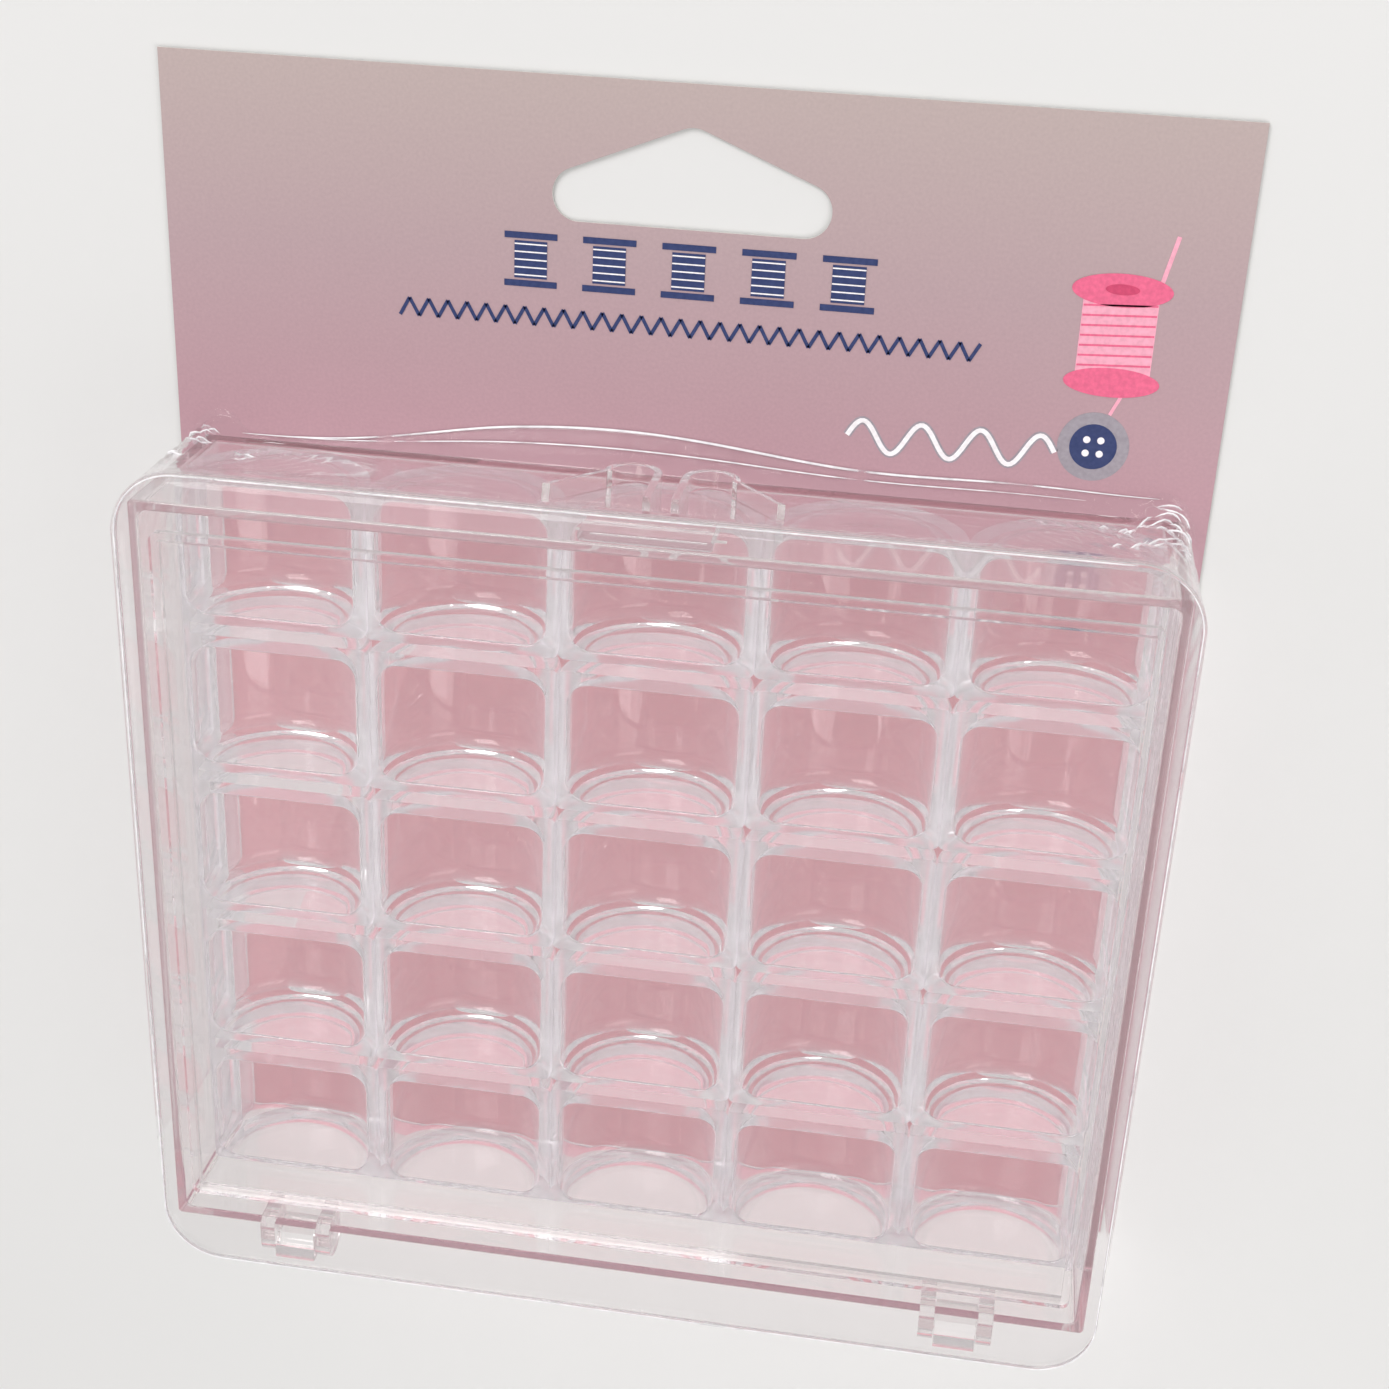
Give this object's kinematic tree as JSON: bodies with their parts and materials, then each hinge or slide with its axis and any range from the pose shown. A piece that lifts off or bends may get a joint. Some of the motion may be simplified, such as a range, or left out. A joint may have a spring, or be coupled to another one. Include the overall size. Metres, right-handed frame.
{
  "type": "bobbin box",
  "caption": "Clear hinged flat box with a tray of half-round pockets for sewing bobbins, held by clear film to a header card with a hang slot.",
  "frame": {"origin": "on the card's back face, below the middle of the box's hinge wall", "axes": "+X across the box, +Y from the hinge towards the hang slot, +Z from the card's back out through the lid's face"},
  "size_m": [0.124, 0.151, 0.0261],
  "materials": {
    "clear_body": "gloss",
    "clear_insert": "gloss",
    "clear_lid": "gloss",
    "printed_card": "printed paper board",
    "clear_film": "gloss"
  },
  "bodies": {
    "root": {"box_body": "clear_body", "pocket_insert": "clear_insert", "header_card": "printed_card", "film_sleeve": "clear_film"},
    "lid": {"lid": "clear_lid", "film_front": "clear_film"}
  },
  "joints": [
    {"name": "lid_hinge", "type": "hinge", "parent": "root", "child": "lid", "pos_m": [0, -0.0029, 0.0218], "axis": [1, 0, 0], "range_deg": [0, 165]}
  ]
}
